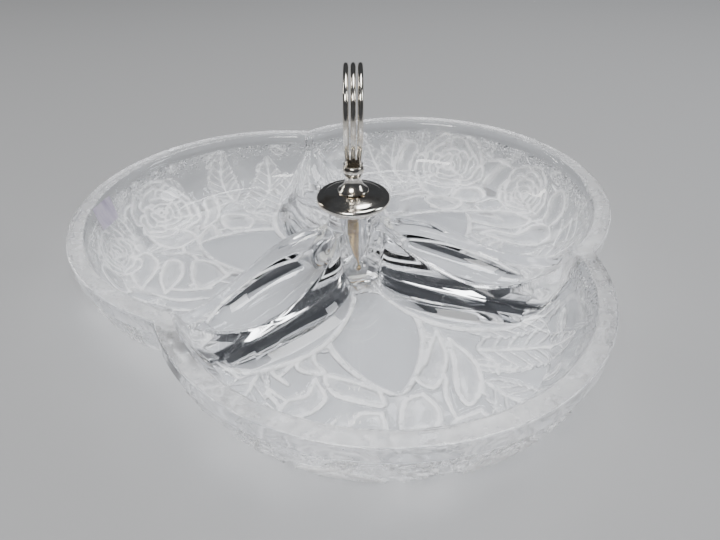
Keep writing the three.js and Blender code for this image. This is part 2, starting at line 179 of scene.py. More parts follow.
def lobed_radius(angles, inset):
    """Distance from the hub axis to the three-lobed outline drawn in by an inset."""
    directions = np.stack([np.cos(angles), np.sin(angles)])
    reach = np.zeros_like(angles)
    for lobe in LOBE_ANGLES:
        centre = unit(lobe) * LOBE_CENTRE
        along = centre @ directions
        square = (LOBE_RADIUS - inset) ** 2 - LOBE_CENTRE ** 2 + along ** 2
        reach = np.maximum(reach, np.where(square > 0, along + np.sqrt(np.maximum(square, 0)), 0))
    return reach


def trough_share(along):
    return np.clip((along - TROUGH_START) / (TROUGH_END - TROUGH_START), 0, 1)


def trough_half_width(along):
    bulge = np.sin(np.pi * trough_share(along) ** 0.8)
    return TROUGH_HALF_WIDTH * np.maximum(bulge, 0) ** 0.6


def crest_half_width(along):
    root = ROOT_HALF_WIDTH * (1 - smooth_step(0.3, 0.45, trough_share(along)))
    return np.maximum(trough_half_width(along), root) + CREST_WIDTH


def crest_depth(along):
    share = trough_share(along)
    return TIP_DROP * share + CREST_SAG * np.sin(np.pi * share ** 1.45)


def inset_at_depth(depth):
    return np.interp(depth, WALL_DEPTHS, WALL_INSETS)


def depth_at_inset(inset):
    """Depth under the rim where a wall has come in by an inset: a smooth curve through the profile."""
    fine = np.linspace(0, WALL_INSETS[-1], 241)
    linear = np.interp(fine, WALL_INSETS, WALL_DEPTHS)
    window = np.hanning(31)
    padded = np.concatenate([2 * linear[0] - linear[15:0:-1], linear, np.full(15, linear[-1])])
    curve = np.convolve(padded, window / window.sum(), mode="valid")
    return np.interp(inset, fine, curve - curve[0])


def divider_place(x, y, angle):
    axis = unit(angle)
    return x * axis[0] + y * axis[1], -x * axis[1] + y * axis[0]


def compartment_depth(x, y, lobe):
    """Depth of a compartment's smooth bowl under the rim, with x and y from the hub axis."""
    flank_steepness, corner_rounding = 1.6, 3.0
    centre = unit(lobe) * LOBE_CENTRE
    hub_distance = np.hypot(x, y)
    rooms = [LOBE_RADIUS - RIM_WIDTH - np.hypot(x - centre[0], y - centre[1])]
    for angle in (lobe - 60, lobe + 60):
        along, across = divider_place(x, y, angle)
        flank = (np.abs(across) - crest_half_width(along)) * flank_steepness
        rooms.append(flank + inset_at_depth(crest_depth(along)))
    room = soft_min(rooms, corner_rounding)
    depth = depth_at_inset(np.maximum(room, 0))
    share = depth / COMPARTMENT_DEPTH
    rise = HUB_FLOOR_RISE * np.maximum(0, 1 - hub_distance / LOBE_RADIUS)
    inside = np.degrees(np.abs(np.angle(np.exp(1j * (np.arctan2(y, x) - math.radians(lobe)))))) < 61
    return np.where(inside, depth - rise * share ** 2, 0)


def divider_depth(x, y, angle):
    """Depth under the rim over a divider: its edges and the trough between them."""
    along, across = divider_place(x, y, angle)
    across = np.abs(across)
    rim_room = np.full_like(x, 1e3)
    for lobe in (angle - 60, angle + 60):
        centre = unit(lobe) * LOBE_CENTRE
        rim_room = np.minimum(rim_room, LOBE_RADIUS - RIM_WIDTH - np.hypot(x - centre[0], y - centre[1]))
    crest = soft_min([crest_depth(along), depth_at_inset(np.maximum(rim_room, 0))], 0.6)
    crest = np.where(rim_room > 0, np.maximum(crest, 0), 0)
    half = np.maximum(trough_half_width(along), 0.01)
    bowl = np.sqrt(np.maximum(1 - (across / half) ** 2, 0))
    bowl *= TROUGH_DEPTH * np.sqrt(np.maximum(np.sin(np.pi * trough_share(along)), 0))
    mine = (along > 0) & (across < crest_half_width(along) + 8) & (along > TROUGH_START - 2)
    return np.where(mine, crest + bowl, 0)


def inside_height(x, y):
    """Height of the dish's inner surface, smoothed where its faces meet."""
    depth = np.zeros_like(x)
    for lobe in LOBE_ANGLES:
        depth = np.maximum(depth, compartment_depth(x, y, lobe))
    for angle in DIVIDER_ANGLES:
        depth = np.maximum(depth, divider_depth(x, y, angle))
    return RIM_Z - depth


# ---------- the pressed ornament ----------

class Canvas:
    """Height and frost of one lobe's relief on a flat grid, in millimetres from the lobe's centre.

    x runs outwards and y to its left. Shapes are laid over one another, the latest on top.
    """

    STEP = 0.5
    LOW, HIGH = (-60.0, -125.0), (135.0, 125.0)

    def __init__(self, lobe):
        across = np.arange(self.LOW[0], self.HIGH[0], self.STEP)
        up = np.arange(self.LOW[1], self.HIGH[1], self.STEP)
        self.x, self.y = np.meshgrid(across, up, indexing="ij")
        fan = 22 * np.arctan2(self.y, self.x + 95) + 1.3 * np.sin(self.x / 13 + 0.05 * self.y + lobe)
        streak = (0.5 + 0.5 * np.sin(fan * 1.35 + 0.7 * np.sin(self.x / 6))) ** 5
        streak *= 0.55 + 0.45 * np.sin(self.x / 11 + 2 * np.sin(self.y / 17 + lobe))
        self.height = 0.26 + 0.5 * streak
        self.frost = 0.16 + 0.6 * streak

    def window(self, points, margin):
        low = (points.min(0) - margin - self.LOW) / self.STEP
        high = (points.max(0) + margin - self.LOW) / self.STEP
        row = slice(max(int(low[0]), 0), min(int(high[0]) + 1, self.x.shape[0]))
        column = slice(max(int(low[1]), 0), min(int(high[1]) + 1, self.x.shape[1]))
        return row, column

    def lay(self, place, height, frost, cover):
        self.height[place] += (height - self.height[place]) * cover
        self.frost[place] += (frost - self.frost[place]) * cover

    def sample(self, x, y):
        """Both maps at any points, blended between grid points."""
        row = np.clip((x - self.LOW[0]) / self.STEP, 0, self.x.shape[0] - 1.001)
        column = np.clip((y - self.LOW[1]) / self.STEP, 0, self.x.shape[1] - 1.001)
        r, c = row.astype(int), column.astype(int)
        a, b = row - r, column - c
        return [m[r, c] * (1 - a) * (1 - b) + m[r + 1, c] * a * (1 - b) + m[r, c + 1] * (1 - a) * b
                + m[r + 1, c + 1] * a * b for m in (self.height, self.frost)]


def distance_to_line(x, y, line):
    """Distance to a polyline and the share of its length at the nearest point."""
    best = np.full(x.shape, 1e6)
    share = np.zeros(x.shape)
    count = len(line) - 1
    for k in range(count):
        start, step = line[k], line[k + 1] - line[k]
        t = np.clip(((x - start[0]) * step[0] + (y - start[1]) * step[1]) / max(step @ step, 1e-9), 0, 1)
        gap = (x - start[0] - t * step[0]) ** 2 + (y - start[1] - t * step[1]) ** 2
        nearer = gap < best
        best[nearer] = gap[nearer]
        share[nearer] = ((k + t) / count)[nearer]
    return np.sqrt(best), share


def inside_outline(x, y, line):
    """True inside a closed polyline."""
    odd = np.zeros(x.shape, bool)
    for (x0, y0), (x1, y1) in zip(line, np.roll(line, -1, 0)):
        crosses = (y0 > y) != (y1 > y)
        rise = y1 - y0 if abs(y1 - y0) > 1e-9 else 1e-9
        odd ^= crosses & (x < (x1 - x0) * (y - y0) / rise + x0)
    return odd


def draw_line(canvas, points, width):
    """A rounded frosted ridge along a smooth line, thinner at both ends."""
    line = catmull(np.array(points, float), 6)
    place = canvas.window(line, width)
    gap, share = distance_to_line(canvas.x[place], canvas.y[place], line)
    half = width / 2 * (0.45 + 0.55 * np.sin(np.pi * share) ** 0.7)
    ridge = np.sqrt(np.maximum(1 - (gap / half) ** 2, 0))
    canvas.lay(place, 0.4 + 0.6 * ridge, 1.0, np.clip(ridge * 1.6, 0, 1))


def draw_petal(canvas, points, lip=2.3, cloud=0.6):
    """A cupped petal: frosted and high at its lip, falling away and clearing towards its middle."""
    ring = np.array(list(points) + [points[0]], float)
    line = catmull(ring, 6)
    place = canvas.window(line, lip)
    x, y = canvas.x[place], canvas.y[place]
    gap, _ = distance_to_line(x, y, line)
    inside = inside_outline(x, y, line)
    bowl = 0.22 + 0.35 * np.exp(-gap / 3.5)
    canvas.lay(place, bowl, 0.12 + cloud * np.exp(-gap / 4.5), inside * 1.0)
    ridge = np.sqrt(np.maximum(1 - (gap / (lip / 2)) ** 2, 0))
    canvas.lay(place, 0.4 + 0.6 * ridge, 1.0, np.clip(ridge * 1.6, 0, 1))


def draw_leaf(canvas, base, tip, width, bend=0.0, teeth=8):
    """A leaf with a saw edge, a midrib and slanting side veins."""
    base, tip = np.array(base, float), np.array(tip, float)
    axis = tip - base
    side = np.array([-axis[1], axis[0]]) * bend
    rib = catmull(np.array([base, base + axis * 0.5 + side, tip]), 16)
    place = canvas.window(rib, width + 2)
    x, y = canvas.x[place], canvas.y[place]
    gap, share = distance_to_line(x, y, rib)
    length = np.linalg.norm(axis)
    saw = 1 - 0.16 * np.mod(share * teeth * 1.6, 1)
    half = width * np.maximum(np.sin(np.pi * share ** 0.8), 0) ** 0.75 * saw
    inside = (gap < half) & (share > 0.005) & (share < 0.995)
    vein = (0.5 + 0.5 * np.cos(2 * np.pi * (share * length - gap * 0.8) / (length / teeth))) ** 8
    middle = np.exp(-((gap / 1.1) ** 2))
    border = np.exp(-(((half - gap) / 1.1) ** 2))
    mark = np.clip(np.maximum(np.maximum(0.75 * vein, middle), border), 0, 1)
    canvas.lay(place, 0.3 + 0.65 * mark, 0.3 + 0.7 * mark, inside * 1.0)


def draw_rose(canvas, middle, radius, turn, squash=0.9):
    """An open rose: rings of overlapping petals laid from the outside in, round a spiral heart."""
    middle = np.array(middle, float)
    rings = ((0.8, 0.4, 6, 0.0), (0.58, 0.38, 5, 0.7), (0.37, 0.31, 4, 0.2), (0.2, 0.24, 3, 0.9))
    for reach, size, petals, phase in rings:
        for k in range(petals):
            seed = math.sin(7.3 * k + 3.1 * petals + 11 * reach + 5 * turn)
            bearing = turn + phase + 2 * math.pi * k / petals + 0.2 * seed
            outward = np.array([math.cos(bearing), math.sin(bearing)])
            left = np.array([-outward[1], outward[0]])
            corners = [(-0.55, -0.2), (-0.1, -0.95), (0.5, -1.0), (0.85, -0.35), (1.0, 0.1), (0.8, 0.6),
                       (0.35, 1.05), (-0.2, 0.9), (-0.6, 0.25)]
            outline = [middle + radius * (outward * (reach + size * a * (0.76 + 0.2 * seed))
                                          + left * size * (b + 0.3 * seed * a) * 1.2) * (1, squash)
                       for a, b in corners]
            draw_petal(canvas, outline, 2.3 if reach > 0.4 else 1.9, 0.5)
    turns = np.linspace(0, 3.4 * math.pi, 22)
    spiral = [middle + radius * 0.21 * (1 - t / 12.5) * np.array([math.cos(turn - t), math.sin(turn - t)])
              for t in turns]
    draw_line(canvas, spiral, 1.9)


def draw_sprigs(canvas, lobe):
    """Small leaves scattered under everything else, so that no part of the lobe is left bare."""
    count, spread, golden = 64, 122.0, 2.39996
    for k in range(count):
        reach, bearing = spread * math.sqrt((k + 0.5) / count), k * golden + lobe
        base = np.array([reach * math.cos(bearing), reach * math.sin(bearing)])
        heading = bearing + 1.2 * math.sin(1.7 * k)
        length = 20 + 5 * math.sin(2.9 * k)
        tip = base + length * np.array([math.cos(heading), math.sin(heading)])
        if base[0] > -30:
            draw_leaf(canvas, base, tip, 5.5 + 1.5 * math.sin(4.1 * k), 0.16 * math.sin(k), 5)


def tear_room(x, y):
    """Room inside the clear tear-shaped panel of a compartment, in lobe coordinates."""
    start, end, half_width = -24.0, 46.0, 21.5
    share = np.clip((x - start) / (end - start), 0, 1)
    shape = share ** 0.55 * (1 - share) ** 0.85 / 0.3913
    return half_width * shape - np.abs(y + 4) - 40 * ((x < start) | (x > end))


def crescent_room(x, y, side):
    """Room inside the clear crescent beside a divider, in lobe coordinates."""
    hub_x = x + LOBE_CENTRE
    axis = unit(60 * side)
    along = hub_x * axis[0] + y * axis[1]
    across = np.abs(-hub_x * axis[1] + y * axis[0])
    start, end = 20.0, 92.0
    share = np.clip((along - start) / (end - start), 0, 1)
    outer = 17 + 16 * np.maximum(np.sin(np.pi * share), 0) ** 0.8
    return np.where((y * side > 0) & (along > start) & (along < end), outer - across, -40)


def clear_panels(canvas):
    """Clear panels let into the ornament, each with a rounded bright border."""
    border = 3.8
    everywhere = (slice(None), slice(None))
    for room in (tear_room(canvas.x, canvas.y), crescent_room(canvas.x, canvas.y, 1),
                 crescent_room(canvas.x, canvas.y, -1)):
        bead = np.sqrt(np.maximum(1 - ((room + border / 2) / (border / 2)) ** 2, 0))
        canvas.lay(everywhere, 0.55, 0.0, np.clip(room + border, 0, 1))
        canvas.lay(everywhere, 0.35 + 0.65 * bead, 0.9, np.clip(bead * 1.5, 0, 1) * (room < 0))


# Each lobe's ornament in canvas coordinates: roses (middle, radius, turn), leaves (base, tip, width, bend),
# petals by their outline, and single lines.
ORNAMENT = {
    -90.0: {
        "roses": [((84, -40), 19, 0.4), ((98, 22), 17, 1.2)],
        "leaves": [((28, 40), (46, 96), 15, 0.08), ((46, 36), (82, 70), 12, -0.1),
                   ((14, 40), (14, 102), 13, 0.06), ((16, -62), (48, -98), 12, 0.1),
                   ((102, 44), (122, 76), 12, 0.1), ((112, -8), (124, -44), 10, 0.1),
                   ((60, -60), (96, -84), 13, -0.1), ((110, 4), (130, 22), 9, 0.1)],
        "petals": [[(12, 26), (30, 24), (46, 12), (38, 6), (30, 14), (20, 20)],
                   [(18, 30), (34, 36), (48, 34), (58, 24), (50, 22), (36, 26)],
                   [(48, 6), (58, 10), (68, 4), (66, -8), (56, -6), (50, -2)],
                   [(42, -12), (34, -22), (28, -33), (38, -32), (46, -22), (50, -12)],
                   [(2, -29), (16, -36), (26, -33), (20, -44), (8, -40)],
                   [(28, -38), (40, -36), (46, -46), (44, -58), (36, -52), (36, -44)],
                   [(54, -14), (66, -16), (72, -28), (62, -32), (52, -24)],
                   [(62, 28), (76, 30), (84, 20), (76, 10), (66, 14)],
                   [(76, 6), (86, 2), (92, -10), (80, -18), (72, -8)]],
        "lines": [[(8, 58), (18, 50), (29, 44)], [(10, 66), (22, 56), (30, 48)],
                  [(30, 56), (34, 48), (44, 44)], [(2, -34), (16, -46), (22, -54)],
                  [(0, -78), (18, -66), (40, -50)], [(-2, -84), (18, -72), (44, -58)],
                  [(20, -66), (34, -58), (46, -54)], [(52, -34), (60, -44), (62, -56)],
                  [(40, 20), (52, 16), (64, 16)], [(30, 30), (46, 30), (60, 38), (70, 44)],
                  [(6, -60), (18, -56), (28, -50)], [(52, 44), (62, 42), (72, 36)],
                  [(0, 78), (12, 70), (20, 60)]],
    },
    30.0: {
        "roses": [((90, 42), 25, 0.3), ((93, -22), 20, 1.4)],
        "leaves": [((34, 46), (58, 100), 17, -0.06), ((52, 52), (80, 90), 12, 0.1),
                   ((118, 14), (130, 40), 9, 0.1), ((30, -60), (58, -96), 13, 0.1),
                   ((112, -40), (122, -76), 11, -0.1), ((24, 50), (24, 100), 12, 0.0)],
        "petals": [[(50, 24), (56, 40), (68, 52), (76, 40), (72, 26), (60, 20)],
                   [(40, 22), (38, 10), (46, 4), (58, 8), (54, 20), (46, 26)],
                   [(58, 16), (72, 20), (82, 12), (76, 2), (62, 4)],
                   [(38, -8), (46, -26), (58, -36), (70, -38), (70, -22), (56, -8), (46, -2)],
                   [(32, -26), (40, -46), (56, -58), (72, -52), (66, -42), (50, -40), (40, -28)],
                   [(70, -40), (80, -46), (96, -46), (100, -56), (86, -62), (72, -54)],
                   [(62, 56), (74, 66), (88, 72), (84, 80), (68, 76), (58, 66)]],
        "lines": [[(28, 34), (40, 32), (50, 26)], [(30, 44), (42, 40), (52, 34)],
                  [(28, 10), (36, 4), (44, -4)], [(60, -2), (56, -12), (62, -24)],
                  [(46, -62), (62, -66), (78, -64)], [(44, -70), (60, -76), (78, -74)],
                  [(52, -82), (66, -84), (80, -80)], [(28, -52), (38, -58), (50, -62)],
                  [(64, 0), (76, -4), (82, -14)], [(106, 20), (112, 8), (110, -4)],
                  [(104, -44), (98, -54), (100, -66)]],
    },
    150.0: {
        "roses": [((90, -28), 24, 0.8), ((92, 28), 19, 0.1)],
        "leaves": [((30, -44), (44, -108), 16, -0.08), ((14, -46), (18, -104), 14, 0.06),
                   ((118, 8), (128, 36), 9, 0.1), ((34, 56), (64, 92), 13, -0.1),
                   ((104, -56), (116, -86), 11, 0.1), ((50, -60), (80, -96), 12, 0.08)],
        "petals": [[(52, -8), (58, 2), (70, 2), (84, -6), (80, -16), (66, -18), (56, -14)],
                   [(40, 4), (50, -8), (50, -26), (44, -20), (36, -6)],
                   [(54, -20), (60, -40), (70, -54), (66, -60), (56, -48), (50, -32)],
                   [(16, 24), (30, 14), (42, 14), (36, 28), (26, 38)],
                   [(44, 44), (54, 32), (58, 16), (50, 16), (42, 30)],
                   [(60, 46), (72, 36), (84, 20), (76, 12), (64, 18), (60, 30)],
                   [(24, -26), (38, -24), (48, -40), (36, -42), (26, -36)],
                   [(64, 50), (78, 44), (92, 50), (88, 60), (72, 60)]],
        "lines": [[(12, 30), (26, 28), (34, 18), (48, 8), (66, 10)], [(18, 44), (34, 48), (52, 46)],
                  [(20, 36), (34, 40), (48, 40)], [(22, 54), (40, 56), (60, 54)],
                  [(58, -4), (52, 6), (40, 8)], [(30, -30), (44, -18), (48, -6)],
                  [(4, -36), (12, -46), (10, -62), (12, -84)], [(56, -56), (64, -66), (74, -68)],
                  [(70, 14), (72, 24), (68, 34)], [(106, 2), (112, -8), (108, -20)],
                  [(108, 40), (100, 48), (104, 58)]],
    },
}


def draw_ornament(lobe):
    canvas, plan = Canvas(lobe), ORNAMENT[lobe]
    draw_sprigs(canvas, lobe)
    for points in plan["lines"]:
        draw_line(canvas, points, 2.6)
    for leaf in plan["leaves"]:
        draw_leaf(canvas, *leaf)
    for points in plan["petals"]:
        draw_petal(canvas, points)
    for rose in plan["roses"]:
        draw_rose(canvas, *rose)
    clear_panels(canvas)
    return canvas


def relief(plan_x, plan_y, stretch):
    """The ornament over the whole outside. stretch lays the walls flat round each lobe's centre."""
    height = np.zeros_like(plan_x)
    frost = np.zeros_like(plan_x)
    bearing = np.degrees(np.arctan2(plan_y, plan_x))
    for lobe in LOBE_ANGLES:
        out = unit(lobe)
        mine = np.abs((bearing - lobe + 180) % 360 - 180) <= 60 + 1e-6
        dx, dy = plan_x[mine] - out[0] * LOBE_CENTRE, plan_y[mine] - out[1] * LOBE_CENTRE
        x = (dx * out[0] + dy * out[1]) * stretch[mine]
        y = (-dx * out[1] + dy * out[0]) * stretch[mine]
        height[mine], frost[mine] = draw_ornament(lobe).sample(x, y)
    edge = np.full_like(plan_x, 1e3)
    for angle in DIVIDER_ANGLES:
        along, across = divider_place(plan_x, plan_y, angle)
        edge = np.minimum(edge, np.where(along > 0, np.abs(across), 1e3))
    reach = np.hypot(plan_x, plan_y)
    fade = smooth_step(1.0, 4.5, edge) * smooth_step(15, 17.5, reach)
    return 0.5 + (height - 0.5) * fade, frost * fade


# ---------- the glass mesh ----------

def ring_points(radius, height):
    return np.stack([radius * ANGLE_COS, radius * ANGLE_SIN, np.broadcast_to(height, radius.shape)], -1)


def foot_jag():
    """How far the ornament eats into the foot's outer edge at each angle."""
    teeth = np.abs(np.sin(31 * ANGLES + 1.7 * np.sin(5 * ANGLES))) * np.abs(np.sin(13.5 * ANGLES + 0.4))
    return 3.4 * teeth ** 0.8 + 1.2 * np.abs(np.sin(47 * ANGLES + np.sin(7 * ANGLES)))


def outside_rows():
    """Rows of the plain outside, from the recess to the rim band, and each row's stretch when laid flat."""
    rows, stretch = [], []
    hollow_end, foot_end = FOOT_INSET + FOOT_WIDTH + 12, FOOT_INSET + FOOT_WIDTH
    start, dome_edge = RECESS_RADIUS + 0.4, np.full(ANGLE_STEPS, RECESS_RADIUS + 3)
    hollow_edge, foot_inner = lobed_radius(ANGLES, hollow_end), lobed_radius(ANGLES, foot_end)
    jag = foot_jag()
    foot_outer = lobed_radius(ANGLES, FOOT_INSET) - jag
    for share in np.linspace(0, 1, 3, endpoint=False):
        rows.append(ring_points(start + (dome_edge - start) * share, UNDERSIDE_RISE))
    for share in np.linspace(0, 1, 88, endpoint=False):
        height = UNDERSIDE_RISE * (1 - 2 / 3 * share)
        rows.append(ring_points(dome_edge + (hollow_edge - dome_edge) * share, height))
    for share in np.linspace(0, 1, 22, endpoint=False):
        height = UNDERSIDE_RISE / 3 * (1 - share)
        rows.append(ring_points(hollow_edge + (foot_inner - hollow_edge) * share, height))
    for share in np.linspace(0, 1, 40, endpoint=False):
        rows.append(ring_points(foot_inner + (foot_outer - foot_inner) * share, 0.0))
    stretch += [1.0] * len(rows)
    wall_shares = np.linspace(0, 1, 62)
    insets = FOOT_INSET + (RIM_ROUND - FOOT_INSET) * np.sin(wall_shares * np.pi / 2)
    heights = (RIM_Z - RIM_BAND) * wall_shares
    flat = LOBE_RADIUS - FOOT_INSET
    for k, (inset, height) in enumerate(zip(insets, heights)):
        if k:
            flat += math.hypot(inset - insets[k - 1], height - heights[k - 1])
        bite = jag * (1 - smooth_step(0, 0.35, height / (RIM_Z - RIM_BAND)))
        rows.append(ring_points(lobed_radius(ANGLES, inset) - bite, height))
        stretch.append(flat / (LOBE_RADIUS - inset))
    return np.array(rows), np.array(stretch)


def band_rows():
    """The plain band under the rim, its rounded edge and the flat land on top."""
    start = RIM_Z - RIM_BAND
    profile = [(RIM_ROUND * 0.6, start + 0.25), (0.15, start + 0.8)]
    profile += [(0.0, height) for height in np.linspace(start + 1.6, RIM_Z - RIM_ROUND, 7)]
    profile += [(RIM_ROUND * (1 - math.cos(a)), RIM_Z - RIM_ROUND * (1 - math.sin(a)))
                for a in np.radians((22, 45, 68, 90))]
    profile += [(inset, RIM_Z) for inset in np.linspace(RIM_ROUND, RIM_WIDTH, 9)[1:-1]]
    return np.array([ring_points(lobed_radius(ANGLES, inset), height) for inset, height in profile])


def inside_rows():
    """Rows of the inner surface, from the rim's inner edge down to the hub, close together on the wall."""
    inner = lobed_radius(ANGLES, RIM_WIDTH)
    near_wall = np.linspace(0, 26, 36, endpoint=False)
    rows = []
    for inset in near_wall:
        rows.append(inner - inset)
    far = rows[-1] - (near_wall[1] - near_wall[0])
    for share in np.linspace(0, 1, 72):
        rows.append(far + (HUB_FOOT_RADIUS - far) * share)
    radius = np.array(rows)
    x, y = radius * ANGLE_COS, radius * ANGLE_SIN
    return np.stack([x, y, inside_height(x, y)], -1)


def hub_rows(foot):
    """The hub's column from the cove at its foot up to its top, then down the bore and the recess."""
    rows = []
    column_top = HUB_TOP_Z - 0.6
    for turn in np.radians((15, 30, 45, 60, 75, 90)):
        radius = HUB_FOOT_RADIUS - (HUB_FOOT_RADIUS - HUB_RADIUS) * math.sin(turn)
        height = foot[:, 2] + HUB_COVE_HEIGHT * (1 - math.cos(turn))
        rows.append(ring_points(np.full(ANGLE_STEPS, radius), height))
    for share in np.linspace(0, 1, 9)[1:]:
        height = rows[5][:, 2] + (column_top - rows[5][:, 2]) * share
        rows.append(ring_points(np.full(ANGLE_STEPS, HUB_RADIUS), height))
    profile = [(HUB_RADIUS - 0.2, HUB_TOP_Z - 0.2), (HUB_RADIUS - 0.6, HUB_TOP_Z),
               (BORE_RADIUS + 3, HUB_TOP_Z), (BORE_RADIUS + 0.3, HUB_TOP_Z), (BORE_RADIUS, HUB_TOP_Z - 0.3)]
    profile += [(BORE_RADIUS, height) for height in np.linspace(HUB_TOP_Z - 4, RECESS_DEPTH + 0.4, 8)]
    profile += [(BORE_RADIUS + 0.4, RECESS_DEPTH), (RECESS_RADIUS / 2, RECESS_DEPTH),
                (RECESS_RADIUS - 0.5, RECESS_DEPTH), (RECESS_RADIUS, RECESS_DEPTH - 0.5),
                (RECESS_RADIUS, UNDERSIDE_RISE + 0.4)]
    rows += [ring_points(np.full(ANGLE_STEPS, radius), height) for radius, height in profile]
    return np.array(rows)


def row_normals(rows):
    """Unit normals of a grid of rows, pointing out of the glass on the outside."""
    along = np.roll(rows, -1, 1) - np.roll(rows, 1, 1)
    up = np.gradient(rows, axis=0)
    normal = np.cross(along, up)
    return normal / np.maximum(np.linalg.norm(normal, axis=-1, keepdims=True), 1e-9)


def build_glass():
    outside, stretch = outside_rows()
    plan_x, plan_y = outside[..., 0], outside[..., 1]
    height, frost = relief(plan_x, plan_y, np.repeat(stretch[:, None], ANGLE_STEPS, 1))
    wall_share = np.clip(outside[..., 2] / (RIM_Z - RIM_BAND), 0, 1)
    stipple = smooth_step(0.62, 0.74, wall_share) * (1 - smooth_step(0.94, 1.0, wall_share))
    height = height * (1 - 0.7 * stipple)
    top_fade = 1 - smooth_step(0.93, 1.0, wall_share)
    start_fade = smooth_step(2, 6, np.arange(len(outside), dtype=float))[:, None]
    cut = RELIEF_DEPTH * (1 - height) * top_fade * start_fade
    outside = outside - row_normals(outside) * cut[..., None]
    outside[..., 2] = np.maximum(outside[..., 2], 0)
    band, inside = band_rows(), inside_rows()
    hub = hub_rows(inside[-1])
    grid = np.concatenate([outside, band, inside, hub])
    grid[..., 0] += HUB_AXIS[0]
    grid[..., 1] += HUB_AXIS[1]
    rows = len(grid)
    glass = piece("pressed_glass_dish", grid.reshape(-1, 3), torus_faces(rows, ANGLE_STEPS),
                  "dish", "clear_glass", "glass_dish")
    frost_rows = np.zeros((rows, ANGLE_STEPS))
    frost_rows[:len(outside)] = frost * top_fade * start_fade
    land = len(outside) + len(band)
    column = rows - len(hub)
    frost_rows[land - 8:land] = RIM_FROST
    frost_rows[column:column + 14] = HUB_FROST
    frost_rows[-13:-1] = BORE_FROST
    stipple_rows = np.zeros((rows, ANGLE_STEPS))
    stipple_rows[:len(outside)] = stipple
    for name, values in (("frost", frost_rows), ("stipple", stipple_rows)):
        layer = glass.data.attributes.new(name, "FLOAT", "POINT")
        layer.data.foreach_set("value", values.ravel().astype(np.float32))
    return glass


# ---------- materials ----------

class Nodes:
    """Short spelling for building a material's node tree."""

    def __init__(self, name):
        self.material = bpy.data.materials.new(name)
        self.material.use_nodes = True
        self.tree = self.material.node_tree
        self.shader = self.tree.nodes["Principled BSDF"]
        self.output = self.tree.nodes["Material Output"]

    def add(self, kind, settings=(), **inputs):
        node = self.tree.nodes.new(kind)
        for key, value in dict(settings).items():
            setattr(node, key, value)
        for key, value in inputs.items():
            self.set(node, key.replace("_", " "), value)
        return node

    def set(self, node, key, value):
        if isinstance(value, bpy.types.NodeSocket):
            self.tree.links.new(value, node.inputs[key])
        else:
            node.inputs[key].default_value = value

    def principled(self, **inputs):
        for key, value in inputs.items():
            self.set(self.shader, key.replace("_", " "), value)

    def coordinates(self):
        return self.add("ShaderNodeTexCoord").outputs["Object"]

    def noise(self, scale, detail=4.0, vector=None, roughness=0.55):
        vector = vector or self.coordinates()
        return self.add("ShaderNodeTexNoise", Vector=vector, Scale=scale, Detail=detail,
                        Roughness=roughness).outputs["Fac"]

    def ramp(self, value, stops):
        node = self.add("ShaderNodeValToRGB", Fac=value)
        elements = node.color_ramp.elements
        while len(elements) < len(stops):
            elements.new(0.5)
        for element, (place, colour) in zip(elements, stops):
            element.position = place
            element.color = (*colour, 1) if len(colour) == 3 else colour
        return node.outputs["Color"]

    def spread(self, value, low, high, start=0.0, end=1.0):
        node = self.add("ShaderNodeMapRange", Value=value)
        for key, number in (("From Min", start), ("From Max", end), ("To Min", low), ("To Max", high)):
            node.inputs[key].default_value = number
        return node.outputs["Result"]

    def math(self, operation, first, second):
        node = self.add("ShaderNodeMath", {"operation": operation})
        self.set(node, 0, first)
        self.set(node, 1, second)
        return node.outputs[0]

    def stretched(self, scale):
        node = self.add("ShaderNodeMapping", Vector=self.coordinates())
        node.inputs["Scale"].default_value = scale
        return node.outputs["Vector"]

    def bump(self, height, strength, distance, below=None):
        node = self.add("ShaderNodeBump", Height=height, Strength=strength, Distance=distance)
        if below is not None:
            self.tree.links.new(below, node.inputs["Normal"])
        return node.outputs["Normal"]


def glass_material():
    """Clear glass, clouded where the ornament is frosted. Shadow rays pass through, dimmed a little."""
    nodes = Nodes("pressed_clear_glass")
    frost = nodes.add("ShaderNodeAttribute", {"attribute_name": "frost"}).outputs["Fac"]
    stipple = nodes.add("ShaderNodeAttribute", {"attribute_name": "stipple"}).outputs["Fac"]
    cloud = nodes.spread(nodes.noise(160.0, 5.0), 0.6, 1.1, 0.3, 0.7)
    clouded = nodes.math("MULTIPLY", frost, cloud)
    grains = nodes.add("ShaderNodeTexVoronoi", {"feature": "SMOOTH_F1"}, Vector=nodes.coordinates(),
                       Scale=620.0).outputs["Distance"]
    grained = nodes.bump(nodes.math("MULTIPLY", grains, stipple), 1.0, 0.0016)
    mottle = nodes.math("MULTIPLY", nodes.noise(700.0, 3.0), frost)
    tint = nodes.ramp(clouded, [(0.0, (0.865, 0.88, 0.905)), (0.45, (0.93, 0.935, 0.95)),
                                (1.0, (0.985, 0.98, 0.985))])
    nodes.principled(
        Base_Color=tint, IOR=1.54, Roughness=nodes.spread(clouded, 0.0, 0.42),
        Transmission_Weight=nodes.spread(clouded, 1.0, 0.2), Normal=nodes.bump(mottle, 0.5, 0.0002, grained),
    )
    dimming = nodes.ramp(clouded, [(0.0, (0.88, 0.885, 0.895)), (1.0, (0.62, 0.63, 0.64))])
    see_through = nodes.add("ShaderNodeBsdfTransparent", Color=dimming)
    shadow = nodes.add("ShaderNodeLightPath").outputs["Is Shadow Ray"]
    mix = nodes.add("ShaderNodeMixShader", Fac=shadow)
    nodes.tree.links.new(nodes.shader.outputs[0], mix.inputs[1])
    nodes.tree.links.new(see_through.outputs[0], mix.inputs[2])
    nodes.tree.links.new(mix.outputs[0], nodes.output.inputs["Surface"])
    return nodes.material


